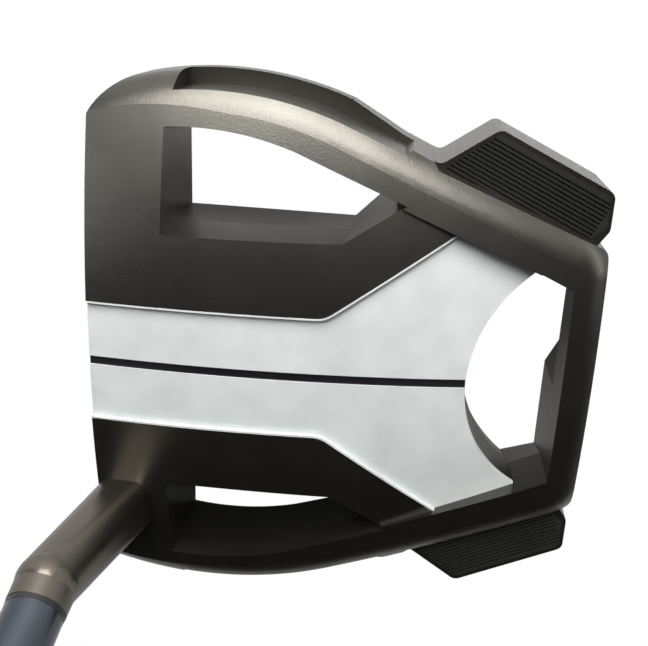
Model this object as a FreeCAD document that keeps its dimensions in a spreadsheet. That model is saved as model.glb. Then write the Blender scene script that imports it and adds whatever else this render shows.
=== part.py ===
import FreeCAD, Part
import Sketcher
import math
import os

# Mallet putter, right-handed, as a parametric document in millimetres.
#
# Row frame: the origin is on the flat sole, under the sight line, 30 mm behind the top edge of the
# face. +X is the heel, -X the toe, -Y the face and the target side, +Y the back, +Z up.
# The club stands as it is played: the sole flat on the ground, the shaft leaning to the heel.

V = FreeCAD.Vector
NEAR = 0.01
doc = FreeCAD.newDocument("mallet_putter")

# ---------------------------------------------------------------- driving dimensions
SIZES = {
    # how far a cutting tool runs past the surface it opens, and where the deck's tools start
    "past": 1.0, "column_base": 10.0,
    # crown: a dome with one radius across the head and longer ones from face to back
    "crown_height": 25.7, "crown_mid_y": -5.2, "crown_radius_x": 161.0,
    "deck_radius_y": 278.0, "rail_radius_y": 500.0, "crown_half_x": 62.0, "crown_depth": 60.0,
    "crown_shoulder": 12.418, "crown_swing": 160.0,
    # outer outline of the casting, heel half (the toe half is its mirror)
    "face_corner_x": 39.3, "face_corner_y": -31.4, "corner_radius": 12.0,
    "corner_side_x": 51.3, "corner_side_y": -19.4, "corner_out_y": -15.0,
    "side_front_x": 47.4, "side_front_y": -34.1, "side_radius": 68.0,
    "side_rear_x": 47.16, "side_rear_y": 16.69,
    "back_corner_side_x": 30.12, "back_corner_side_y": 58.46, "back_corner_radius": 11.0,
    "back_corner_rear_x": 19.94, "back_corner_rear_y": 65.3,
    "blank_height": 30.0, "edge_round": 9.0, "sole_edge_round": 2.0,
    # face
    "face_top_y": -30.0, "face_top_z": 24.6, "face_loft": 3.0, "far_front_y": -50.0,
    # rail: its outer wall, which the side channel cuts back to
    "rail_front_x": 48.9, "rail_front_y": -15.2, "rail_out_radius": 65.0,
    "rail_bend_x": 44.38, "rail_bend_y": 15.56, "rail_corner_x": 25.45, "rail_corner_y": 61.95,
    "rail_tail_x": 37.87, "rail_tail_y": 31.5, "rail_corner_round": 2.0, "far_x": 60.0, "far_y": 72.0,
    # end of the sole ring, which closes in on the rail ahead of each pod
    "ring_front_x": 47.6, "ring_front_y": 15.4, "ring_mid_x": 41.8, "ring_mid_y": 25.0,
    "ring_rear_x": 39.2, "ring_rear_y": 30.6,
    "channel_floor": 6.0, "channel_nose_x": 54.0, "channel_nose_y": -14.4,
    "channel_end_x": 40.3, "channel_end_y": 25.5, "channel_tail_x": 43.4, "channel_tail_y": 31.5,
    "channel_out_x": 56.0, "channel_out_y": 20.0,
    # rail: its inner line behind the windows
    "inner_turn_x": 35.9, "inner_turn_y": 15.0, "inner_end_x": 21.0, "inner_end_y": 51.5,
    # side window at the sole and at the step, and the wider mouth above the step
    "window_step": 16.0, "mouth_height": 28.0,
    "foot_a_x": 25.3, "foot_b_x": 42.7, "foot_c_x": 41.4, "foot_c_y": 6.4,
    "foot_d_x": 35.0, "foot_d_y": 26.4, "foot_e_x": 24.9, "foot_e_y": 16.5,
    "win_a_x": 25.9, "win_b_x": 42.3, "win_front_y": -16.2, "win_arc_radius": 56.0,
    "win_c_x": 39.6, "win_c_y": 7.0, "win_d_x": 31.5, "win_d_y": 24.6, "win_e_x": 26.1, "win_e_y": 16.4,
    "mouth_a_x": 24.0, "mouth_b_x": 44.4, "mouth_c_x": 40.3, "mouth_c_y": 7.4,
    "mouth_d_x": 32.6, "mouth_d_y": 29.0, "mouth_e_x": 24.2, "mouth_e_y": 15.4,
    # back window and the relief under the back bar
    "arc_side_x": 21.5, "arc_side_y": 50.6, "arc_radius": 26.1,
    "flare_side_x": 23.6, "flare_side_y": 49.4, "flare_radius": 30.6, "flare_wall_x": 21.4,
    "flare_top": 9.0,
    "back_wall_x": 18.8, "back_wall_y": 56.3,
    "relief_side_x": 17.6, "relief_turn_x": 2.5, "relief_mid_x": -4.0, "relief_floor": 12.5,
    "relief_y": 59.4, "relief_front_y": 55.0,
    # alignment plate in its recess
    "plate_front_x": 11.7, "plate_bend_y": 13.5, "plate_corner_x": 27.5, "plate_corner_y": 35.6,
    "bend_round": 5.0,
    "tray_front_x": 11.35, "tray_bend_y": 13.62, "tray_corner_x": 28.9, "tray_corner_y": 38.1,
    "tray_rear_x": 24.0, "tray_rear_y": 53.0,
    "plate_drop": 1.0, "plate_thick": 1.2, "plate_bond": 0.15,
    "sight_half_x": 0.85, "sight_drop": 0.35, "sight_thick": 0.35,
    # rear pods
    "pod_height": 16.7, "pod_a_x": 37.6, "pod_a_y": 28.2, "pod_b_x": 39.35, "pod_b_y": 30.45,
    "pod_k_x": 38.7, "pod_k_y": 31.7, "pod_c_x": 45.2, "pod_c_y": 41.4,
    "pod_d_x": 35.4, "pod_d_y": 61.7, "pod_e_x": 28.9, "pod_e_y": 61.7, "pod_f_x": 25.2, "pod_f_y": 59.2,
    "pod_in_rear_x": 23.6, "pod_in_rear_y": 57.0, "pod_in_front_x": 36.2, "pod_in_front_y": 28.2,
    "pod_notch": 1.7, "pod_round": 1.8,
    # ribbed pads in the pods
    "pad_recess": 1.2, "pad_a_x": 37.9, "pad_a_y": 32.4, "pad_b_x": 44.4, "pad_b_y": 41.3,
    "pad_c_x": 34.9, "pad_c_y": 61.0, "pad_d_x": 29.4, "pad_d_y": 61.0,
    "pad_e_x": 27.3, "pad_e_y": 58.6, "pad_round": 1.3,
    "rib_pitch": 0.74, "rib_width": 0.34, "rib_depth": 0.45, "rib_first": 0.6,
    "rib_count": 12.0, "rib_angle": 26.0, "rib_length": 42.0, "rib_start": 14.0,
    # sole weights: a screw with a flanged head, its washer and its threaded sleeve in the casting
    "weight_x": 33.2, "weight_y": 46.6, "weight_gap": 0.3, "weight_flange_r": 6.4,
    "weight_flange": 2.0, "weight_recess": 0.5, "weight_thread_r": 5.0, "weight_thread": 7.0,
    "weight_end_gap": 0.8, "washer": 0.6, "washer_out_r": 6.3, "washer_in_r": 5.3,
    "thread_play": 0.06, "sleeve_wall": 1.0, "key_r": 2.3, "key_depth": 3.2,
    # face insert
    "insert_half_x": 25.5, "insert_flat_x": 20.5, "insert_half_z": 8.2, "insert_flat_z": 3.2,
    "insert_round": 5.0, "insert_mid_z": 12.2, "insert_depth": 4.6, "insert_bond": 0.15,
    "groove_pitch": 1.5, "groove_width": 0.5, "groove_depth": 0.3, "groove_count": 9.0,
    "groove_half_x": 19.5,
    # neck: square at the head, round at the elbow, over it the shaft's own axis
    "neck_base_x": 31.0, "neck_base_y": -24.0, "neck_base_z": 17.0,
    "neck_half": 5.3, "neck_flat": 2.7, "neck_corner": 2.6,
    "elbow_half": 5.3, "elbow_flat": 0.3, "elbow_corner": 5.0, "elbow_r": 5.45, "elbow_drop": 5.0,
    "collar_low_r": 5.3, "collar_r": 5.15, "post_r": 4.25, "post_length": 27.0,
    "tenon_r": 4.2, "tenon_depth": 8.0, "tenon_rise": 12.0, "tenon_fit": 0.03,
    # shaft axis: it leaves the neck at the joint
    "joint_x": 31.1, "joint_y": -29.05, "joint_z": 56.0, "lie": 70.0, "lean": 2.0,
    "ring_length": 0.9, "ring_r": 5.05,
    "shaft_tip_r": 5.0, "shaft_tip_in_r": 4.4, "tip_straight": 130.0, "taper_end": 430.0,
    "shaft_butt_r": 7.4, "shaft_butt_in_r": 6.9, "shaft_end": 800.0, "plug_gap": 0.5, "plug_length": 12.0,
    # grip: a pistol shape with a flat front
    "grip_start": 537.0, "grip_low_r": 10.2, "grip_mid": 655.0, "grip_mid_r": 12.2,
    "grip_waist": 775.0, "grip_end_r": 12.9, "grip_swell": 1090.0, "grip_bore_r": 7.6,
    "grip_flat": 9.0, "grip_flat_tilt": 0.35, "tape_start": 540.0,
    "cap_thick": 3.0, "cap_r": 12.7, "cap_spigot_r": 6.8, "cap_spigot": 8.0, "vent_r": 1.2,
    # sole badge
    "badge_r": 8.0, "badge_thick": 0.7, "badge_recess": 1.0, "badge_bond": 0.1, "badge_y": 18.0,
    # sole plate over the cavity in the core, with four countersunk screws
    "sole_half_x": 20.0, "sole_front_y": -14.0, "sole_rear_y": 35.0, "sole_thick": 2.4,
    "sole_fit": 0.05, "sole_round": 4.0, "cavity_half_x": 14.5, "cavity_front_y": -8.5,
    "cavity_rear_y": 29.5, "cavity_top": 18.0, "cavity_round": 4.0,
    "screw_x": 17.0, "screw_front_y": -11.0, "screw_rear_y": 32.0, "screw_head_r": 2.3,
    "screw_r": 1.25, "screw_length": 8.0, "screw_head": 1.1, "screw_sunk": 0.15, "screw_play": 0.1,
    "screw_key_r": 0.9, "screw_key_depth": 0.8,
}

sheet = doc.addObject("Spreadsheet::Sheet", "dims")
for row, (alias, value) in enumerate(SIZES.items(), start=1):
    sheet.set("A%d" % row, alias)
    sheet.set("B%d" % row, str(value))
    sheet.setAlias("B%d" % row, alias)
doc.recompute()


def size(alias):
    """Value of a dimension cell; a leading minus sign gives its mirror."""
    if alias.startswith("-"):
        return -float(sheet.get(alias[1:]))
    return float(sheet.get(alias))


def formula(alias):
    """The same alias as an expression on the sheet."""
    return "-dims." + alias[1:] if alias.startswith("-") else "dims." + alias


def bind(thing, **formulas):
    """Bind properties to expressions; a double underscore stands for a dot."""
    for name, text in formulas.items():
        thing.setExpression(name.replace("__", "."), text)


# ---------------------------------------------------------------- sketches
def arc_middle(start, end, radius):
    """Middle of the short arc from start to end; a positive radius bulges to the right."""
    half = (end - start) * 0.5
    sagitta = abs(radius) - math.sqrt(radius * radius - half.Length ** 2)
    side = V(half.y, -half.x, 0).normalize() * (1 if radius > 0 else -1)
    return start + half + side * sagitta


def outline(name, corners, arcs=None, place=None):
    """Closed sketch through corners, pairs of aliases. arcs maps the number of an edge to the
    alias of its radius, signed as arc_middle reads it; every other edge is a straight line."""
    arcs = arcs or {}
    sketch = doc.addObject("Sketcher::SketchObject", name)
    if place is not None:
        sketch.Placement = place
    points = [V(size(x), size(y), 0) for x, y in corners]
    count = len(points)
    first = []
    for i in range(count):
        start, end = points[i], points[(i + 1) % count]
        if i not in arcs:
            sketch.addGeometry(Part.LineSegment(start, end), False)
            first.append(1)
            continue
        middle = arc_middle(start, end, size(arcs[i]))
        # a sketch arc always runs anticlockwise, so one that turns the other way is drawn backwards
        if size(arcs[i]) > 0:
            sketch.addGeometry(Part.Arc(start, middle, end), False)
            first.append(1)
        else:
            sketch.addGeometry(Part.Arc(end, middle, start), False)
            first.append(2)
    for i in range(count):
        after = (i + 1) % count
        sketch.addConstraint(Sketcher.Constraint("Coincident", i, 3 - first[i], after, first[after]))
    for i, (x, y) in enumerate(corners):
        for kind, alias in (("DistanceX", x), ("DistanceY", y)):
            number = sketch.addConstraint(Sketcher.Constraint(kind, -1, 1, i, first[i], size(alias)))
            sketch.setExpression("Constraints[%d]" % number, formula(alias))
        if i in arcs:
            alias = arcs[i].lstrip("-")
            number = sketch.addConstraint(Sketcher.Constraint("Radius", i, size(alias)))
            sketch.setExpression("Constraints[%d]" % number, formula(alias))
    return sketch


def flip(alias):
    return alias[1:] if alias.startswith("-") else "-" + alias


def mirror(corners):
    """The toe-side twin of heel-side corners, in the same order."""
    return [(flip(x), y) for x, y in corners]


def both_sides(corners):
    """A closed outline from its heel half: the toe half follows it in reverse."""
    return corners + mirror(corners)[::-1]


# ---------------------------------------------------------------- solids
def prism(name, sketch, low, high):
    """Upright solid of a sketch between two heights, given as expressions."""
    bind(sketch, Placement__Base__z=low)
    solid = doc.addObject("Part::Extrusion", name)
    solid.Base = sketch
    solid.DirMode = "Custom"
    solid.Dir = V(0, 0, 1)
    solid.Solid = True
    bind(solid, LengthFwd="(%s) - (%s)" % (high, low))
    return solid


def cylinder(name, radius, height, x="0", y="0", z="0"):
    solid = doc.addObject("Part::Cylinder", name)
    bind(solid, Radius=radius, Height=height,
         Placement__Base__x=x, Placement__Base__y=y, Placement__Base__z=z)
    return solid


def cut(name, base, tool):
    result = doc.addObject("Part::Cut", name)
    result.Base = base
    result.Tool = tool
    return result


def cut_all(name, base, tools):
    """Cut the tools from the base one after another."""
    for tool in tools[:-1]:
        base = cut(name + "_less_" + tool.Name, base, tool)
    return cut(name, base, tools[-1])


def fuse(name, pieces):
    result = doc.addObject("Part::MultiFuse", name)
    result.Shapes = pieces
    return result


def common(name, pieces):
    result = doc.addObject("Part::MultiCommon", name)
    result.Shapes = pieces
    return result


def middle_of(edge):
    return edge.valueAt((edge.FirstParameter + edge.LastParameter) / 2)


def is_upright(edge):
    low, high = edge.Vertexes[0], edge.Vertexes[-1]
    return math.hypot(low.X - high.X, low.Y - high.Y) < NEAR and abs(low.Z - high.Z) > NEAR


def rounded(name, base, radius_of):
    """Fillet of the edges that radius_of gives a radius; it gives the others None."""
    doc.recompute()
    edges = []
    for place, edge in enumerate(base.Shape.Edges, start=1):
        radius = radius_of(edge)
        if radius is not None:
            edges.append((place, radius, radius))
    result = doc.addObject("Part::Fillet", name)
    result.Base = base
    result.Edges = edges
    return result


def round_uprights(name, base, corners):
    """Round the upright edges at these corners: alias of x, alias of y, alias of the radius."""
    def radius_of(edge):
        if is_upright(edge):
            foot = V(edge.Vertexes[0].X, edge.Vertexes[0].Y, 0)
            for x, y, radius in corners:
                if foot.isEqual(V(size(x), size(y), 0), NEAR):
                    return size(radius)
        return None
    return rounded(name, base, radius_of)


def crown(name, radius_y, drop="0"):
    """Solid under a crown dome, lowered by a drop: a profile swung about an axis along X."""
    corners = [("crown_half_x", "-crown_shoulder"), ("crown_half_x", "-crown_depth"),
               ("-crown_half_x", "-crown_depth"), ("-crown_half_x", "-crown_shoulder")]
    upright = FreeCAD.Placement(V(0, 0, 0), FreeCAD.Rotation(V(1, 0, 0), 90))
    profile = outline(name + "_profile", corners, {3: "-crown_radius_x"}, upright)
    top = "dims.crown_height - (%s)" % drop
    bind(profile, Placement__Base__y="dims.crown_mid_y", Placement__Base__z=top)
    solid = doc.addObject("Part::Revolution", name)
    solid.Source = profile
    solid.Axis = V(1, 0, 0)
    solid.Angle = math.degrees(size("crown_swing") / size(radius_y))
    solid.Symmetric = True
    solid.Solid = True
    bind(solid, Base__y="dims.crown_mid_y", Base__z="%s - dims.%s" % (top, radius_y))
    return solid


# ---------------------------------------------------------------- head frame: the aluminium casting
def casting_blank():
    """Domed blank with soft side edges and a small radius round the sole, cut to the face."""
    heel = [("side_front_x", "side_front_y"), ("side_rear_x", "side_rear_y"),
            ("back_corner_side_x", "back_corner_side_y"), ("back_corner_rear_x", "back_corner_rear_y")]
    arcs = {0: "side_radius", 2: "back_corner_radius", 4: "back_corner_radius", 6: "side_radius"}
    blank = prism("blank", outline("blank_outline", both_sides(heel), arcs), "0", "dims.blank_height")
    domed = common("domed_blank", [blank, crown("rail_crown", "rail_radius_y")])
    front_y = size("side_front_y")

    def top_side(edge):
        at_front = middle_of(edge).y < front_y + NEAR
        if is_upright(edge) or at_front or edge.Vertexes[0].Z < size("channel_floor"):
            return None
        return size("edge_round")

    def sole(edge):
        return size("sole_edge_round") if middle_of(edge).z < NEAR else None
    soft = rounded("soft_sole", rounded("soft_crown", domed, top_side), sole)
    heel = [("face_corner_x", "face_corner_y"), ("corner_side_x", "corner_side_y"),
            ("far_x", "corner_out_y"), ("far_x", "far_y")]
    arcs = {0: "corner_radius", 6: "corner_radius"}
    plan = outline("face_plan_outline", both_sides(heel), arcs)
    return common("faced_blank", [soft, prism("face_plan", plan, "-dims.past", "dims.blank_height")])


def sided(name, corners, arcs, low, high, rounds=()):
    """The same prism on the heel and on the toe."""
    solids = []
    for side in ("heel", "toe"):
        turned, signed, upright = corners, arcs, rounds
        if side == "toe":
            turned = mirror(corners)
            signed = {edge: flip(alias) for edge, alias in arcs.items()}
            upright = [(flip(x), y, radius) for x, y, radius in rounds]
        label = side + "_" + name
        solid = prism(label, outline(label + "_outline", turned, signed), low, high)
        if upright:
            solid = round_uprights(label + "_round", solid, upright)
        solids.append(solid)
    return solids


def channels():
    """Side channels above the sole ring, and the cut back to the rail's wall behind them."""
    heel = [("rail_front_x", "rail_front_y"), ("rail_bend_x", "rail_bend_y"),
            ("channel_end_x", "channel_end_y"), ("channel_tail_x", "channel_tail_y"),
            ("channel_out_x", "channel_out_y"), ("channel_nose_x", "channel_nose_y")]
    tools = sided("channel", heel, {0: "rail_out_radius"}, "dims.channel_floor", "dims.blank_height")
    behind = [("rail_tail_x", "rail_tail_y"), ("ring_rear_x", "ring_rear_y"), ("ring_mid_x", "ring_mid_y"),
              ("ring_front_x", "ring_front_y"), ("far_x", "ring_front_y"), ("far_x", "far_y")]
    ring = behind + mirror(behind)[::-1] + [("-rail_corner_x", "rail_corner_y"),
                                            ("rail_corner_x", "rail_corner_y")]
    rear = prism("rear_wall", outline("rear_wall_outline", ring), "-dims.past", "dims.blank_height")
    corners = [("rail_corner_x", "rail_corner_y", "rail_corner_round"),
               ("-rail_corner_x", "rail_corner_y", "rail_corner_round")]
    return tools + [round_uprights("rear_wall_round", rear, corners)]


def flare(name, low, high, low_height, high_height):
    """Solid between two outlines with the same number of edges; each is corners and arcs."""
    sections = [outline(name + "_low", *low), outline(name + "_high", *high)]
    bind(sections[0], Placement__Base__z=low_height)
    bind(sections[1], Placement__Base__z=high_height)
    loft = doc.addObject("Part::Loft", name)
    loft.Sections = sections
    loft.Solid = True
    loft.Ruled = True
    return loft


def windows():
    """Side windows: narrowest at the step, wider towards the sole and towards the crown."""
    foot = [("foot_a_x", "win_front_y"), ("foot_b_x", "win_front_y"), ("foot_c_x", "foot_c_y"),
            ("foot_d_x", "foot_d_y"), ("foot_e_x", "foot_e_y")]
    step = [("win_a_x", "win_front_y"), ("win_b_x", "win_front_y"), ("win_c_x", "win_c_y"),
            ("win_d_x", "win_d_y"), ("win_e_x", "win_e_y")]
    mouth = [("mouth_a_x", "win_front_y"), ("mouth_b_x", "win_front_y"), ("mouth_c_x", "mouth_c_y"),
             ("mouth_d_x", "mouth_d_y"), ("mouth_e_x", "mouth_e_y")]
    tools = []
    for side, turn, radius in (("heel", list, "win_arc_radius"), ("toe", mirror, "-win_arc_radius")):
        arcs = {1: radius}
        at_step = (turn(step), arcs)
        tools.append(flare(side + "_window", (turn(foot), arcs), at_step, "-dims.past", "dims.window_step"))
        tools.append(flare(side + "_mouth", at_step, (turn(mouth), arcs), "dims.window_step",
                           "dims.mouth_height"))
    return tools


def back_window():
    """Opening behind the plate's arc, its flare towards the sole, and the relief under the back bar."""
    heel = [("arc_side_x", "arc_side_y"), ("back_wall_x", "back_wall_y")]
    foot = [("flare_side_x", "flare_side_y"), ("flare_wall_x", "back_wall_y")]
    hole = prism("back_window", outline("back_window_outline", both_sides(heel), {3: "arc_radius"}),
                 "-dims.past", "dims.blank_height")
    wide = flare("back_flare", (both_sides(foot), {3: "flare_radius"}),
                 (both_sides(heel), {3: "arc_radius"}), "-dims.past", "dims.flare_top")
    relief = [("relief_turn_x", "back_wall_y"), ("relief_mid_x", "relief_y"),
              ("-relief_side_x", "relief_y"), ("-relief_side_x", "relief_front_y"),
              ("relief_turn_x", "relief_front_y")]
    under_bar = prism("relief", outline("relief_outline", relief), "-dims.past", "dims.relief_floor")
    return [hole, wide, under_bar]


def above(name, dome, column):
    """What a column has above a dome."""
    return cut(name, column, dome)


def deck_tool(dome):
    """Lowers the deck between the rails, and the front block, to the deck dome."""
    heel = [("far_x", "far_front_y"), ("far_x", "crown_mid_y"), ("inner_turn_x", "crown_mid_y"),
            ("inner_turn_x", "inner_turn_y"), ("inner_end_x", "inner_end_y")]
    column = prism("deck_column", outline("deck_outline", both_sides(heel)), "dims.column_base",
                   "dims.blank_height")
    return above("deck_tool", dome, column)


def plate_column(name, rear):
    """Upright column of the alignment plate's outline; rear is its last heel corner."""
    heel = [("plate_front_x", "far_front_y"), ("plate_front_x", "plate_bend_y"),
            ("plate_corner_x", "plate_corner_y"), rear]
    arcs = {3: "-arc_radius"} if rear[0] == "arc_side_x" else {}
    column = prism(name, outline(name + "_outline", both_sides(heel), arcs), "dims.column_base",
                   "dims.blank_height")
    bends = [("plate_front_x", "plate_bend_y", "bend_round"),
             ("-plate_front_x", "plate_bend_y", "bend_round")]
    return round_uprights(name + "_round", column, bends)


def pods():
    """Pods outside the rear of each rail."""
    heel = [("pod_a_x", "pod_a_y"), ("pod_b_x", "pod_b_y"), ("pod_k_x", "pod_k_y"), ("pod_c_x", "pod_c_y"),
            ("pod_d_x", "pod_d_y"), ("pod_e_x", "pod_e_y"), ("pod_f_x", "pod_f_y"),
            ("pod_in_rear_x", "pod_in_rear_y"), ("pod_in_front_x", "pod_in_front_y")]
    rounds = [("pod_k_x", "pod_k_y", "pod_notch"), ("pod_c_x", "pod_c_y", "pod_round"),
              ("pod_d_x", "pod_d_y", "pod_round"), ("pod_e_x", "pod_e_y", "pod_round")]
    return sided("pod", heel, {}, "0", "dims.pod_height", rounds)


PAD = [("pad_a_x", "pad_a_y"), ("pad_b_x", "pad_b_y"), ("pad_c_x", "pad_c_y"), ("pad_d_x", "pad_d_y"),
       ("pad_e_x", "pad_e_y")]
PAD_ROUNDS = [("pad_b_x", "pad_b_y", "pad_round"), ("pad_c_x", "pad_c_y", "pad_round"),
              ("pad_d_x", "pad_d_y", "pad_round")]


def pad_columns(name, high):
    return sided(name, PAD, {}, "dims.pod_height - dims.pad_recess", high, PAD_ROUNDS)


# ---------------------------------------------------------------- face frame and shaft frame
def face_place(x, up, out):
    """Placement on the lofted face: x across it, up along it from the insert's middle, out of it."""
    loft = size("face_loft")
    drop = size("face_top_z") - size("insert_mid_z")
    middle = V(0, size("face_top_y") - drop * math.tan(math.radians(loft)), size("insert_mid_z"))
    frame = FreeCAD.Placement(middle, FreeCAD.Rotation(V(1, 0, 0), 90 - loft))
    return frame.multiply(FreeCAD.Placement(V(x, up, out), FreeCAD.Rotation()))


FACE_INWARD = face_place(0, 0, 0).Rotation.multVec(V(0, 0, -1))
INSERT = [("insert_flat_x", "-insert_half_z"), ("insert_half_x", "-insert_flat_z"),
          ("insert_half_x", "insert_flat_z"), ("insert_flat_x", "insert_half_z")]
INSERT_ARCS = {0: "insert_round", 2: "insert_round", 4: "insert_round", 6: "insert_round"}


def face_prism(name, start, length):
    """Solid of the insert's outline, from a depth behind the face, over a length."""
    sketch = outline(name + "_outline", both_sides(INSERT), INSERT_ARCS, face_place(0, 0, -start))
    solid = doc.addObject("Part::Extrusion", name)
    solid.Base = sketch
    solid.DirMode = "Custom"
    solid.Dir = FACE_INWARD
    solid.Solid = True
    bind(solid, LengthFwd=length)
    return solid


def face_block(name):
    """Everything in front of the lofted face."""
    box = doc.addObject("Part::Box", name)
    bind(box, Length="2 * dims.far_x", Width="dims.far_x", Height="dims.far_x")
    box.Placement = face_place(-size("far_x"), -size("far_x") / 2, 0)
    return box


SHAFT = FreeCAD.Placement(V(size("joint_x"), size("joint_y"), size("joint_z")),
                          FreeCAD.Rotation(V(1, 0, 0), size("lean")).multiply(
                              FreeCAD.Rotation(V(0, 1, 0), 90 - size("lie"))))
ELBOW = SHAFT.multVec(V(0, 0, -size("elbow_drop")))
NECK_BASE = V(size("neck_base_x"), size("neck_base_y"), size("neck_base_z"))
NECK = FreeCAD.Placement(NECK_BASE, FreeCAD.Rotation(V(0, 0, 1), ELBOW - NECK_BASE))


def rod(name, frame, radius, start, end):
    """Cylinder on an axis between two stations, given as expressions."""
    solid = doc.addObject("Part::Cylinder", name)
    bind(solid, Radius=radius, Height="(%s) - (%s)" % (end, start))
    doc.recompute()
    solid.Placement = frame.multiply(FreeCAD.Placement(V(0, 0, station(start)), FreeCAD.Rotation()))
    return solid


def station(text):
    """A station written as a sum of sheet cells and plain numbers."""
    total = 0.0
    for term in text.replace(" - ", " + -").split(" + "):
        term = term.strip()
        if "dims." in term:
            total += size(term.replace("dims.", ""))
        else:
            total += float(term)
    return total


def turned(name, frame, corners, arcs=None):
    """Solid of revolution about an axis; corners are pairs of radius and station aliases."""
    upright = FreeCAD.Placement(V(0, 0, 0), FreeCAD.Rotation(V(1, 0, 0), 90))
    solid = doc.addObject("Part::Revolution", name)
    solid.Source = outline(name + "_profile", corners, arcs, upright)
    solid.Axis = V(0, 0, 1)
    solid.Angle = 360.0
    solid.Solid = True
    solid.Placement = frame
    return solid


# ---------------------------------------------------------------- weights, in the pods' underside
WEIGHT_TOP = "dims.weight_recess + dims.weight_flange + dims.washer"


def weight_bore(side):
    """Counterbore for the weight's head and washer, and the bore of the sleeve above it."""
    x = "-dims.weight_x" if side == "toe" else "dims.weight_x"
    head = cylinder(side + "_counterbore", "dims.weight_flange_r + dims.weight_gap",
                    WEIGHT_TOP + " + dims.past", x, "dims.weight_y", "-dims.past")
    deep = cylinder(side + "_sleeve_bore", "dims.weight_thread_r + dims.thread_play + dims.sleeve_wall",
                    "dims.weight_recess + dims.weight_flange + dims.weight_thread + dims.weight_end_gap",
                    x, "dims.weight_y", "0")
    return [head, deep]


def weight_set(side):
    """Weight, washer and threaded sleeve of one pod."""
    x = "-dims.weight_x" if side == "toe" else "dims.weight_x"
    flange = cylinder(side + "_flange", "dims.weight_flange_r", "dims.weight_flange", x, "dims.weight_y",
                      "dims.weight_recess")
    thread = cylinder(side + "_thread", "dims.weight_thread_r", "dims.weight_thread", x, "dims.weight_y",
                      "dims.weight_recess + dims.weight_flange")
    key = doc.addObject("Part::Prism", side + "_key")
    key.Polygon = 6
    bind(key, Circumradius="dims.key_r", Height="dims.key_depth", Placement__Base__x=x,
         Placement__Base__y="dims.weight_y", Placement__Base__z="dims.weight_recess")
    weight = cut(side + "_weight", fuse(side + "_weight_body", [flange, thread]), key)
    under = "dims.weight_recess + dims.weight_flange"
    disc = cylinder(side + "_washer_disc", "dims.washer_out_r", "dims.washer", x, "dims.weight_y", under)
    hole = cylinder(side + "_washer_hole", "dims.washer_in_r", "dims.washer", x, "dims.weight_y", under)
    washer = cut(side + "_weight_washer", disc, hole)
    long = "dims.weight_thread + dims.weight_end_gap - dims.washer"
    wide = "dims.weight_thread_r + dims.thread_play"
    sleeve = cut(side + "_weight_sleeve",
                 cylinder(side + "_sleeve_out", wide + " + dims.sleeve_wall", long, x, "dims.weight_y",
                          WEIGHT_TOP),
                 cylinder(side + "_sleeve_in", wide, long, x, "dims.weight_y", WEIGHT_TOP))
    return [weight, washer, sleeve]


# ---------------------------------------------------------------- sole plate and its screws
SCREWS = [("screw_x", "screw_front_y"), ("-screw_x", "screw_front_y"),
          ("screw_x", "screw_rear_y"), ("-screw_x", "screw_rear_y")]


def block(name, half_x, front_y, rear_y, low, high, radius, grow="0"):
    """Upright block symmetric about the sight line with rounded corners."""
    box = doc.addObject("Part::Box", name)
    bind(box, Length="2 * (%s + %s)" % (half_x, grow), Width="%s - %s + 2 * %s" % (rear_y, front_y, grow),
         Height="(%s) - (%s)" % (high, low), Placement__Base__x="-(%s) - %s" % (half_x, grow),
         Placement__Base__y="%s - %s" % (front_y, grow), Placement__Base__z=low)
    return rounded(name + "_round", box, lambda edge: size(radius) if is_upright(edge) else None)


def screw_parts(name, number, play, low, tip):
    """Shank, countersunk head and the room below the head of one screw, with a play all round."""
    x, y = formula(SCREWS[number][0]), formula(SCREWS[number][1])
    shank = cylinder("%s_shank_%d" % (name, number), "dims.screw_r + " + play, "(%s) - (%s)" % (tip, low),
                     x, y, low)
    head = doc.addObject("Part::Cone", "%s_head_%d" % (name, number))
    bind(head, Radius1="dims.screw_head_r + " + play, Radius2="dims.screw_r + " + play,
         Height="dims.screw_head", Placement__Base__x=x, Placement__Base__y=y,
         Placement__Base__z="dims.screw_sunk")
    return [shank, head]


# ---------------------------------------------------------------- build the pieces
deck_crown = crown("deck_crown", "deck_radius_y")
PLATE_BOTTOM = "dims.plate_drop + dims.plate_thick"


def deck_below(name, drop):
    """The deck dome, lowered."""
    return crown(name, "deck_radius_y", drop)


def head_frame():
    recess = above("plate_recess", deck_below("recess_floor", PLATE_BOTTOM + " + dims.plate_bond"),
                   plate_column("recess_column", ("inner_end_x", "inner_end_y")))
    # the deck is lowered first: a cut after the windows can leave it at the rails' height
    tools = [deck_tool(deck_crown)] + channels() + windows() + back_window()
    shell = cut_all("shell", casting_blank(), tools)
    body = fuse("body_and_pods", [shell] + pods())
    pocket = face_prism("insert_pocket", 0.0, "dims.insert_depth + dims.insert_bond")
    bore = rod("neck_bore", NECK, "dims.tenon_r + dims.tenon_fit", "-dims.tenon_depth", "dims.tenon_rise")
    cavity = block("cavity", "dims.cavity_half_x", "dims.cavity_front_y", "dims.cavity_rear_y", "0",
                   "dims.cavity_top", "cavity_round")
    seat = block("sole_seat", "dims.sole_half_x", "dims.sole_front_y", "dims.sole_rear_y", "-dims.past",
                 "dims.sole_thick", "sole_round", "dims.sole_fit")
    screws = []
    for i, (x, y) in enumerate(SCREWS):
        screws.append(cylinder("screw_hole_%d" % i, "dims.screw_r", "dims.screw_length + dims.past",
                               formula(x), formula(y), "0"))
    tools = [recess, pocket, face_block("face_cut"), bore, cavity, seat] + screws
    tools += pad_columns("pad_seat", "dims.blank_height") + weight_bore("heel") + weight_bore("toe")
    return cut_all("head_frame", body, tools)


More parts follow.
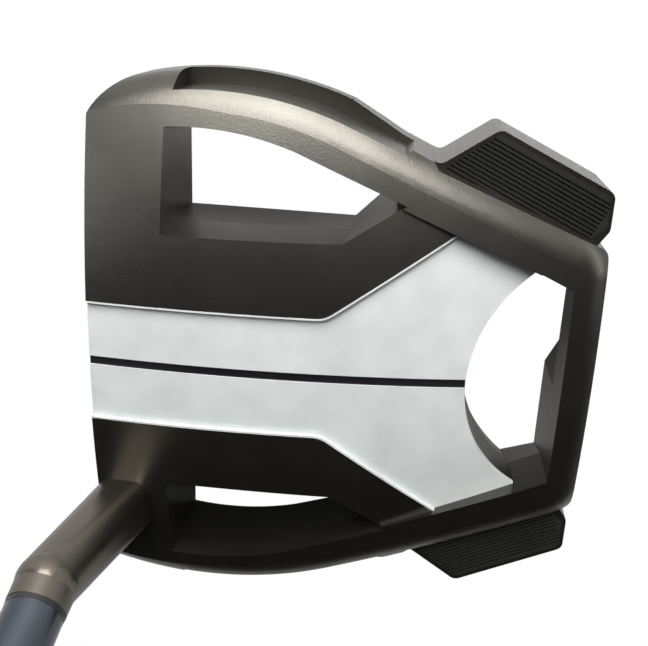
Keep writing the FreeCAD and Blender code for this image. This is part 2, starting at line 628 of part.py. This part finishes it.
def alignment_plate():
    """White tray on the deck: its outline, hollowed to leave a rim, with the sight line's groove."""
    arc_end = ("arc_side_x", "arc_side_y")
    bottom = deck_below("plate_bottom", PLATE_BOTTOM)
    column = plate_column("plate_column", arc_end)
    body = above("plate_body", bottom, common("plate_under_deck", [column, deck_crown]))
    heel = [("tray_front_x", "far_front_y"), ("tray_front_x", "tray_bend_y"),
            ("tray_corner_x", "tray_corner_y"), ("tray_rear_x", "tray_rear_y")]
    tray = prism("tray_column", outline("tray_outline", both_sides(heel)), "dims.column_base",
                 "dims.blank_height")
    bends = [("tray_front_x", "tray_bend_y", "bend_round"), ("-tray_front_x", "tray_bend_y", "bend_round")]
    floor = deck_below("tray_floor", "dims.plate_drop")
    groove_floor = deck_below("groove_floor", "dims.plate_drop + dims.sight_drop + dims.sight_thick")
    rooms = [above("tray_room", floor, round_uprights("tray_round", tray, bends)),
             above("groove_room", groove_floor, sight_column("groove_column"))]
    plate = cut_all("alignment_plate", body, rooms + [face_block("plate_face_cut")])

    bed = common("bond_under_plate", [plate_column("bond_column", arc_end), bottom])
    floor = deck_below("bond_floor", PLATE_BOTTOM + " + dims.plate_bond")
    bond = cut("plate_bond", above("bond_body", floor, bed), face_block("bond_face_cut"))

    top = deck_below("sight_top", "dims.plate_drop + dims.sight_drop")
    under_top = common("sight_under_top", [sight_column("sight_column"), top])
    strip = above("sight_body", groove_floor, under_top)
    behind = plate_column("sight_limit", arc_end)
    line = cut("sight_line", common("sight_in_plate", [strip, behind]), face_block("sight_face_cut"))
    return [plate, bond, line]


def sight_column(name):
    box = doc.addObject("Part::Box", name)
    bind(box, Length="2 * dims.sight_half_x", Width="dims.far_y - dims.far_front_y",
         Height="dims.blank_height", Placement__Base__x="-dims.sight_half_x",
         Placement__Base__y="dims.far_front_y", Placement__Base__z="dims.column_base")
    return box


def face_insert():
    """Insert with milled lines across it, and the bond behind it."""
    grooves = []
    count = int(size("groove_count"))
    for i in range(count):
        groove = doc.addObject("Part::Box", "face_groove_%d" % i)
        bind(groove, Length="2 * dims.groove_half_x", Width="dims.groove_width",
             Height="dims.groove_depth + dims.past")
        up = (i - (count - 1) / 2) * size("groove_pitch") - size("groove_width") / 2
        groove.Placement = face_place(-size("groove_half_x"), up, -size("groove_depth"))
        grooves.append(groove)
    insert = cut_all("face_insert", face_prism("insert_body", 0.0, "dims.insert_depth"), grooves)
    return [insert, face_prism("insert_bond", size("insert_depth"), "dims.insert_bond")]


def rib_pads():
    """Ribbed pads let into the pods: grooves run along each pod's outer edge."""
    pads = []
    for column, side in zip(pad_columns("rib_pad_body", "dims.pod_height"), ("heel", "toe")):
        sign = 1 if side == "heel" else -1
        turn = FreeCAD.Rotation(V(0, 0, 1), sign * size("rib_angle"))
        across = turn.multVec(V(sign, 0, 0))
        along = turn.multVec(V(0, 1, 0))
        corner = V(sign * size("pad_a_x"), size("pad_a_y"), size("pod_height") - size("rib_depth"))
        grooves = []
        for i in range(int(size("rib_count"))):
            groove = doc.addObject("Part::Box", "%s_rib_groove_%d" % (side, i))
            bind(groove, Length="dims.rib_width", Width="dims.rib_length",
                 Height="dims.rib_depth + dims.past")
            offset = size("rib_first") + i * size("rib_pitch")
            end = corner + across * offset - along * size("rib_start")
            groove.Placement = FreeCAD.Placement(end, turn)
            grooves.append(groove)
        pads.append(cut_all(side + "_rib_pad", column, grooves))
    return pads


def sole_pieces():
    """Sole plate over the cavity, its four screws, and the blank badge bonded into it."""
    plate = block("sole_plate_block", "dims.sole_half_x", "dims.sole_front_y", "dims.sole_rear_y", "0",
                  "dims.sole_thick", "sole_round")
    badge_room = cylinder("badge_room", "dims.badge_r + dims.sole_fit", "dims.badge_recess", "0",
                          "dims.badge_y", "0")
    holes, screws = [], []
    for i, (x, y) in enumerate(SCREWS):
        holes += screw_parts("plate_hole", i, "dims.screw_play", "0", "dims.sole_thick")
        holes.append(cylinder("plate_hole_mouth_%d" % i, "dims.screw_head_r + dims.screw_play",
                              "dims.screw_sunk", formula(x), formula(y), "0"))
        key = doc.addObject("Part::Prism", "screw_key_%d" % i)
        key.Polygon = 6
        bind(key, Circumradius="dims.screw_key_r", Height="dims.screw_key_depth",
             Placement__Base__x=formula(x), Placement__Base__y=formula(y),
             Placement__Base__z="dims.screw_sunk")
        tip = "dims.screw_sunk + dims.screw_length"
        body = fuse("screw_body_%d" % i, screw_parts("screw", i, "0", "dims.screw_sunk", tip))
        screws.append(cut("screw_%d" % i, body, key))
    plate = cut_all("sole_plate", plate, holes + [badge_room])
    together = doc.addObject("Part::Compound", "sole_plate_screws")
    together.Links = screws
    badge = cylinder("sole_badge", "dims.badge_r", "dims.badge_thick", "0", "dims.badge_y",
                     "dims.badge_recess - dims.badge_bond - dims.badge_thick")
    bond = cylinder("badge_bond", "dims.badge_r", "dims.badge_bond", "0", "dims.badge_y",
                    "dims.badge_recess - dims.badge_bond")
    return [plate, together, badge, bond]


def square_section(name, half, flat, place):
    """Square with rounded corners: half its width, half its flat and the corner's radius."""
    corners = [(half, "-" + flat), (half, flat), (flat, half), ("-" + flat, half),
               ("-" + half, flat), ("-" + half, "-" + flat), ("-" + flat, "-" + half), (flat, "-" + half)]
    radius = half.replace("half", "corner")
    return outline(name, corners, {1: radius, 3: radius, 5: radius, 7: radius}, place)


def neck():
    """Neck: tenon in the head, tapering square column, elbow, collar and the post in the shaft."""
    reach = (ELBOW - NECK_BASE).Length
    high = NECK.multiply(FreeCAD.Placement(V(0, 0, reach), FreeCAD.Rotation()))
    column = doc.addObject("Part::Loft", "neck_column")
    column.Sections = [square_section("neck_low_section", "neck_half", "neck_flat", NECK),
                       square_section("neck_high_section", "elbow_half", "elbow_flat", high)]
    column.Solid = True
    column.Ruled = True
    ball = doc.addObject("Part::Sphere", "elbow")
    bind(ball, Radius="dims.elbow_r")
    ball.Placement = FreeCAD.Placement(ELBOW, FreeCAD.Rotation())
    collar = doc.addObject("Part::Cone", "collar")
    bind(collar, Radius1="dims.collar_low_r", Radius2="dims.collar_r", Height="dims.elbow_drop")
    collar.Placement = SHAFT.multiply(FreeCAD.Placement(V(0, 0, -size("elbow_drop")), FreeCAD.Rotation()))
    tenon = rod("tenon", NECK, "dims.tenon_r", "-dims.tenon_depth", "dims.tenon_rise")
    post = rod("post", SHAFT, "dims.post_r", "-dims.elbow_drop", "dims.post_length")
    return fuse("neck", [above("neck_above_deck", deck_crown, column), tenon, ball, collar, post])


def tube(name, outer, inner, start, end):
    """Sleeve on the shaft's axis."""
    whole = rod(name + "_out", SHAFT, outer, start, end)
    return cut(name, whole, rod(name + "_in", SHAFT, inner, start, end))


def shaft_pieces():
    """Ring at the joint, the tapered steel tube, the epoxy round the post and the stopper above it."""
    ring = tube("shaft_ring", "dims.ring_r", "dims.post_r", "0", "dims.ring_length")
    shaft = turned("shaft", SHAFT, [
        ("shaft_tip_r", "ring_length"), ("shaft_tip_r", "tip_straight"), ("shaft_butt_r", "taper_end"),
        ("shaft_butt_r", "shaft_end"), ("shaft_butt_in_r", "shaft_end"), ("shaft_butt_in_r", "taper_end"),
        ("shaft_tip_in_r", "tip_straight"), ("shaft_tip_in_r", "ring_length")])
    epoxy = tube("shaft_epoxy", "dims.shaft_tip_in_r", "dims.post_r", "dims.ring_length",
                 "dims.post_length")
    plug = rod("shaft_plug", SHAFT, "dims.shaft_tip_in_r", "dims.post_length + dims.plug_gap",
               "dims.post_length + dims.plug_gap + dims.plug_length")
    return [ring, shaft, epoxy, plug]


def grip_flat(name):
    """What the flat front of the grip takes off: the side that faces up and away from the player."""
    box = doc.addObject("Part::Box", name)
    bind(box, Length="dims.far_x", Width="2 * dims.far_x",
         Height="dims.shaft_end - dims.grip_start + dims.far_x")
    tilt = FreeCAD.Rotation(V(0, 1, 0), -size("grip_flat_tilt"))
    hinge = SHAFT.multiply(FreeCAD.Placement(V(-size("grip_flat"), 0, size("grip_start")), tilt))
    corner = V(-size("far_x"), -size("far_x"), -size("past"))
    box.Placement = hinge.multiply(FreeCAD.Placement(corner, FreeCAD.Rotation()))
    return box


def grip_pieces():
    """Grip, the tape under it and the cap in the end of the shaft."""
    body = turned("grip_body", SHAFT, [
        ("grip_bore_r", "grip_start"), ("grip_low_r", "grip_start"), ("grip_mid_r", "grip_mid"),
        ("grip_end_r", "grip_waist"), ("grip_end_r", "shaft_end"), ("grip_bore_r", "shaft_end")],
        {2: "grip_swell"})
    grip = cut("grip", body, grip_flat("grip_front"))
    tape = tube("grip_tape", "dims.grip_bore_r", "dims.shaft_butt_r", "dims.tape_start", "dims.shaft_end")
    cap_end = "dims.shaft_end + dims.cap_thick"
    cap = fuse("cap_body", [rod("cap_disc", SHAFT, "dims.cap_r", "dims.shaft_end", cap_end),
                            rod("cap_plug", SHAFT, "dims.cap_spigot_r", "dims.shaft_end - dims.cap_spigot",
                                "dims.shaft_end + dims.past")])
    vent = rod("vent", SHAFT, "dims.vent_r", "dims.shaft_end - dims.cap_spigot - dims.past",
               cap_end + " + dims.past")
    return [grip, tape, cut_all("grip_cap", cap, [vent, grip_flat("cap_front")])]


nodes = [head_frame()] + alignment_plate() + face_insert() + rib_pads()
nodes += weight_set("heel") + weight_set("toe") + sole_pieces() + [neck()] + shaft_pieces() + grip_pieces()
doc.recompute()

# ---------------------------------------------------------------- check, then write
for thing in doc.Objects:
    for word in ("Invalid", "Error"):
        if word in thing.State:
            raise RuntimeError("%s is in state %s" % (thing.Name, thing.State))
for node in nodes:
    if node.Shape.isNull() or not node.Shape.isValid():
        raise RuntimeError("%s has no valid shape" % node.Label)
shapes = {node.Label: node.Shape for node in nodes}
if shapes["head_frame"].common(shapes["neck"]).Volume > NEAR:
    raise RuntimeError("the neck runs into the head: the deck under it isn't lowered")
os.makedirs("parts", exist_ok=True)
for node in nodes:
    node.Shape.exportStep("parts/%s.step" % node.Label)
    print("%-20s %2d solid, %10.2f mm3" % (node.Label, len(node.Shape.Solids), node.Shape.Volume))
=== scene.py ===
import math

import bpy
from mathutils import Matrix, Vector

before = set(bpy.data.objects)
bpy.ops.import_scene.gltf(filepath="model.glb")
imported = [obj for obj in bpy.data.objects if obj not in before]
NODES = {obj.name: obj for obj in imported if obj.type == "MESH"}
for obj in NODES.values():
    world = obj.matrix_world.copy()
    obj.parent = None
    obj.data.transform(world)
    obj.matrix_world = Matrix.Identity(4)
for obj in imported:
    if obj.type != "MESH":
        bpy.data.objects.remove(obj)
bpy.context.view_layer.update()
scene = bpy.context.scene
scene.view_settings.view_transform = "Standard"


# ---------------------------------------------------------------- materials
def graph(name):
    """New material: itself, its node tree and its shader."""
    material = bpy.data.materials.new(name)
    material.use_nodes = True
    tree = material.node_tree
    tree.nodes.clear()
    out = tree.nodes.new("ShaderNodeOutputMaterial")
    shader = tree.nodes.new("ShaderNodeBsdfPrincipled")
    tree.links.new(shader.outputs["BSDF"], out.inputs["Surface"])
    return material, tree, shader


def noise(tree, scale, detail=2.0, stretch=(1, 1, 1)):
    """Noise in the row frame: scale is in cycles per metre."""
    place = tree.nodes.new("ShaderNodeTexCoord")
    warp = tree.nodes.new("ShaderNodeMapping")
    warp.inputs["Scale"].default_value = stretch
    tree.links.new(place.outputs["Object"], warp.inputs["Vector"])
    texture = tree.nodes.new("ShaderNodeTexNoise")
    texture.inputs["Scale"].default_value = scale
    texture.inputs["Detail"].default_value = detail
    tree.links.new(warp.outputs["Vector"], texture.inputs["Vector"])
    return texture.outputs["Fac"]


def ramp(tree, value, low, high, low_at=0.3, high_at=0.7):
    """Colour between two colours as a value goes from low_at to high_at."""
    node = tree.nodes.new("ShaderNodeValToRGB")
    node.color_ramp.elements[0].position = low_at
    node.color_ramp.elements[0].color = (*low, 1)
    node.color_ramp.elements[1].position = high_at
    node.color_ramp.elements[1].color = (*high, 1)
    tree.links.new(value, node.inputs["Fac"])
    return node.outputs["Color"]


def spread(tree, value, low, high):
    """A value between 0 and 1 mapped to a range."""
    node = tree.nodes.new("ShaderNodeMapRange")
    node.inputs["To Min"].default_value = low
    node.inputs["To Max"].default_value = high
    tree.links.new(value, node.inputs["Value"])
    return node.outputs["Result"]


def bump(tree, shader, height, depth):
    node = tree.nodes.new("ShaderNodeBump")
    node.inputs["Distance"].default_value = depth
    node.inputs["Strength"].default_value = 1.0
    tree.links.new(height, node.inputs["Height"])
    tree.links.new(node.outputs["Normal"], shader.inputs["Normal"])


def finish_of(name, dark, light, metal, rough, grain, grain_depth, cloud=60.0, coat=0.0, stretch=(1, 1, 1),
              rough_spread=0.06):
    """A finish: cloudy colour between two tones, uneven gloss and a fine grain."""
    material, tree, shader = graph(name)
    cloudy = noise(tree, cloud, 3.0, stretch)
    tree.links.new(ramp(tree, cloudy, dark, light), shader.inputs["Base Color"])
    shader.inputs["Metallic"].default_value = metal
    fine = noise(tree, grain, 2.0, stretch)
    tree.links.new(spread(tree, fine, rough - rough_spread, rough + rough_spread), shader.inputs["Roughness"])
    bump(tree, shader, fine, grain_depth)
    if coat:
        shader.inputs["Coat Weight"].default_value = coat
        shader.inputs["Coat Roughness"].default_value = 0.12
    return material


MATERIALS = {
    "head_frame": finish_of("gunmetal", (0.100, 0.097, 0.086), (0.125, 0.121, 0.109), 0.95, 0.34, 2600,
                            0.00002),
    "alignment_plate": finish_of("white_paint", (0.54, 0.575, 0.575), (0.62, 0.655, 0.655), 0.0, 0.35, 1800,
                                 0.00001, cloud=140.0),
    "sight_line": finish_of("black_fill", (0.008, 0.008, 0.01), (0.014, 0.014, 0.016), 0.0, 0.3, 1500,
                            0.00001),
    "face_insert": finish_of("milled_alloy", (0.50, 0.51, 0.53), (0.60, 0.61, 0.63), 1.0, 0.34, 2200,
                             0.00001, stretch=(0.1, 1, 1)),
    "rib_pad": finish_of("pad_rubber", (0.010, 0.010, 0.009), (0.015, 0.015, 0.014), 0.0, 0.5, 2600, 0.00002),
    "weight": finish_of("turned_steel", (0.42, 0.41, 0.40), (0.52, 0.51, 0.49), 1.0, 0.3, 1800, 0.00001),
    "washer": finish_of("zinc", (0.50, 0.51, 0.53), (0.6, 0.61, 0.62), 1.0, 0.35, 1800, 0.00001),
    "sleeve": finish_of("plain_steel", (0.36, 0.36, 0.36), (0.44, 0.44, 0.44), 1.0, 0.4, 1800, 0.00001),
    "sole_plate": finish_of("brushed_sole", (0.10, 0.097, 0.09), (0.15, 0.145, 0.135), 1.0, 0.36, 1600,
                            0.00002, stretch=(0.06, 1, 1)),
    "screw": finish_of("black_oxide", (0.10, 0.10, 0.105), (0.15, 0.15, 0.155), 1.0, 0.36, 1800, 0.00001),
    "badge": finish_of("satin_disc", (0.55, 0.57, 0.60), (0.63, 0.65, 0.68), 0.6, 0.3, 1500, 0.00001),
    "adhesive": finish_of("adhesive", (0.45, 0.41, 0.32), (0.52, 0.48, 0.38), 0.0, 0.5, 900, 0.00001),
    "neck": finish_of("neck_finish", (0.150, 0.135, 0.115), (0.185, 0.168, 0.145), 1.0, 0.33, 2200, 0.00002),
    "ring": finish_of("ring_plastic", (0.010, 0.010, 0.011), (0.016, 0.016, 0.018), 0.0, 0.3, 1500, 0.00001),
    "shaft": finish_of("shaft_finish", (0.060, 0.072, 0.092), (0.080, 0.093, 0.115), 1.0, 0.2, 1500, 0.000004,
                       coat=0.4),
    "stopper": finish_of("stopper_foam", (0.2, 0.2, 0.2), (0.3, 0.3, 0.3), 0.0, 0.8, 900, 0.0001),
    "grip": finish_of("grip_rubber", (0.018, 0.018, 0.019), (0.028, 0.028, 0.030), 0.0, 0.62, 1500, 0.00012),
    "tape": finish_of("paper_tape", (0.60, 0.54, 0.40), (0.68, 0.62, 0.48), 0.0, 0.7, 1200, 0.00002),
}
FINISH = {
    "plate_bond": "adhesive", "insert_bond": "adhesive", "badge_bond": "adhesive", "shaft_epoxy": "adhesive",
    "heel_rib_pad": "rib_pad", "toe_rib_pad": "rib_pad", "heel_weight": "weight", "toe_weight": "weight",
    "heel_weight_washer": "washer", "toe_weight_washer": "washer", "heel_weight_sleeve": "sleeve",
    "toe_weight_sleeve": "sleeve", "sole_plate_screws": "screw", "sole_badge": "badge", "shaft_ring": "ring",
    "shaft_plug": "stopper", "grip_tape": "tape", "grip_cap": "grip",
}
for name, node in NODES.items():
    for place in node.material_slots:
        place.material = MATERIALS[FINISH.get(name, name)]

# ---------------------------------------------------------------- edges: small radii that catch the light
EDGE_RADII = {"head_frame": 0.00022, "neck": 0.00025, "alignment_plate": 0.00012, "sole_plate": 0.0002,
              "heel_weight": 0.0002, "toe_weight": 0.0002, "grip": 0.0008, "grip_cap": 0.0006}
for name, radius in EDGE_RADII.items():
    edge = NODES[name].modifiers.new("edge_radius", "BEVEL")
    edge.width = radius
    edge.segments = 2
    edge.limit_method = "ANGLE"
    edge.angle_limit = math.radians(28)
    edge.harden_normals = False


# ---------------------------------------------------------------- stage, light and camera
def surface(name, albedo, glow):
    """Plain white material that scatters and glows."""
    material = bpy.data.materials.new(name)
    material.use_nodes = True
    shader = material.node_tree.nodes["Principled BSDF"]
    shader.inputs["Base Color"].default_value = (albedo, albedo, albedo, 1)
    shader.inputs["Specular IOR Level"].default_value = 0.0
    shader.inputs["Roughness"].default_value = 1.0
    shader.inputs["Emission Color"].default_value = (1, 1, 1, 1)
    shader.inputs["Emission Strength"].default_value = glow
    return material


FLOOR_DROP = 0.012


def sheet(name, material, seen_by):
    """A floor seen only by the named kinds of ray."""
    bpy.ops.mesh.primitive_plane_add(size=8.0, location=(0, 0, -FLOOR_DROP))
    plane = bpy.context.object
    plane.name = name
    plane.data.materials.append(material)
    for kind in ("camera", "glossy", "diffuse", "shadow", "transmission"):
        setattr(plane, "visible_" + kind, kind in seen_by)
    return plane


floor = sheet("floor", surface("floor_white", 0.0, 1.0), ("camera",))
bounce = sheet("floor_bounce", surface("floor_bounce", 0.75, 0.0), ("glossy", "diffuse", "shadow"))
bpy.ops.mesh.primitive_uv_sphere_add(segments=48, ring_count=24, radius=5.0, location=(0, 0, 0.5))
backdrop = bpy.context.object
backdrop.name = "backdrop"
backdrop.data.materials.append(surface("backdrop_white", 0.0, 1.0))
for kind in ("glossy", "diffuse", "shadow", "transmission"):
    setattr(backdrop, "visible_" + kind, False)


def softbox(name, place, aim, size, watts, colour=(1, 1, 1)):
    data = bpy.data.lights.new(name, "AREA")
    data.shape = "RECTANGLE"
    data.size, data.size_y = size
    data.energy = watts
    data.color = colour
    lamp = bpy.data.objects.new(name, data)
    turned = (Vector(aim) - Vector(place)).to_track_quat("-Z", "Y").to_matrix().to_4x4()
    lamp.matrix_world = Matrix.Translation(place) @ turned
    scene.collection.objects.link(lamp)


softbox("key", (-0.80, -0.02, 0.60), (0, 0.01, 0.02), (0.7, 0.9), 19.0, (1.0, 0.985, 0.96))
softbox("fill", (-0.25, -0.75, 0.9), (0, 0.02, 0.02), (0.5, 0.4), 1.2, (0.94, 0.97, 1.0))
softbox("back", (-0.35, 0.9, 0.35), (0, 0.02, 0.02), (0.8, 0.3), 2.0)

world = bpy.data.worlds.new("studio")
world.use_nodes = True
tree = world.node_tree
tree.nodes.clear()
out = tree.nodes.new("ShaderNodeOutputWorld")
sky = tree.nodes.new("ShaderNodeBackground")
where = tree.nodes.new("ShaderNodeTexCoord")
toward = tree.nodes.new("ShaderNodeVectorMath")
toward.operation = "DOT_PRODUCT"
toward.inputs[1].default_value = (-0.84, -0.08, 0.52)
tree.links.new(where.outputs["Generated"], toward.inputs[0])
tone = tree.nodes.new("ShaderNodeValToRGB")
tone.color_ramp.elements[0].position = 0.55
tone.color_ramp.elements[0].color = (0.006, 0.006, 0.007, 1)
tone.color_ramp.elements[1].position = 0.9
tone.color_ramp.elements[1].color = (0.30, 0.30, 0.30, 1)
tree.links.new(toward.outputs["Value"], tone.inputs["Fac"])
tree.links.new(tone.outputs["Color"], sky.inputs["Color"])
sky.inputs["Strength"].default_value = 1.0
tree.links.new(sky.outputs["Background"], out.inputs["Surface"])
scene.world = world

CAMERA_PLACE = Vector((-0.06592, 0.02750, 0.17270))
CAMERA_AXES = (Vector((-0.03964, 0.99325, -0.10898)), Vector((-0.93739, -0.07474, -0.34018)),
               Vector((-0.34603, 0.08867, 0.93402)))
lens = bpy.data.cameras.new("camera")
lens.lens = 50.0
lens.sensor_width = 36.0
lens.clip_start = 0.005
camera = bpy.data.objects.new("camera", lens)
turn = Matrix([[axis[i] for axis in CAMERA_AXES] for i in range(3)]).to_4x4()
camera.matrix_world = Matrix.Translation(CAMERA_PLACE) @ turn
scene.collection.objects.link(camera)
scene.camera = camera
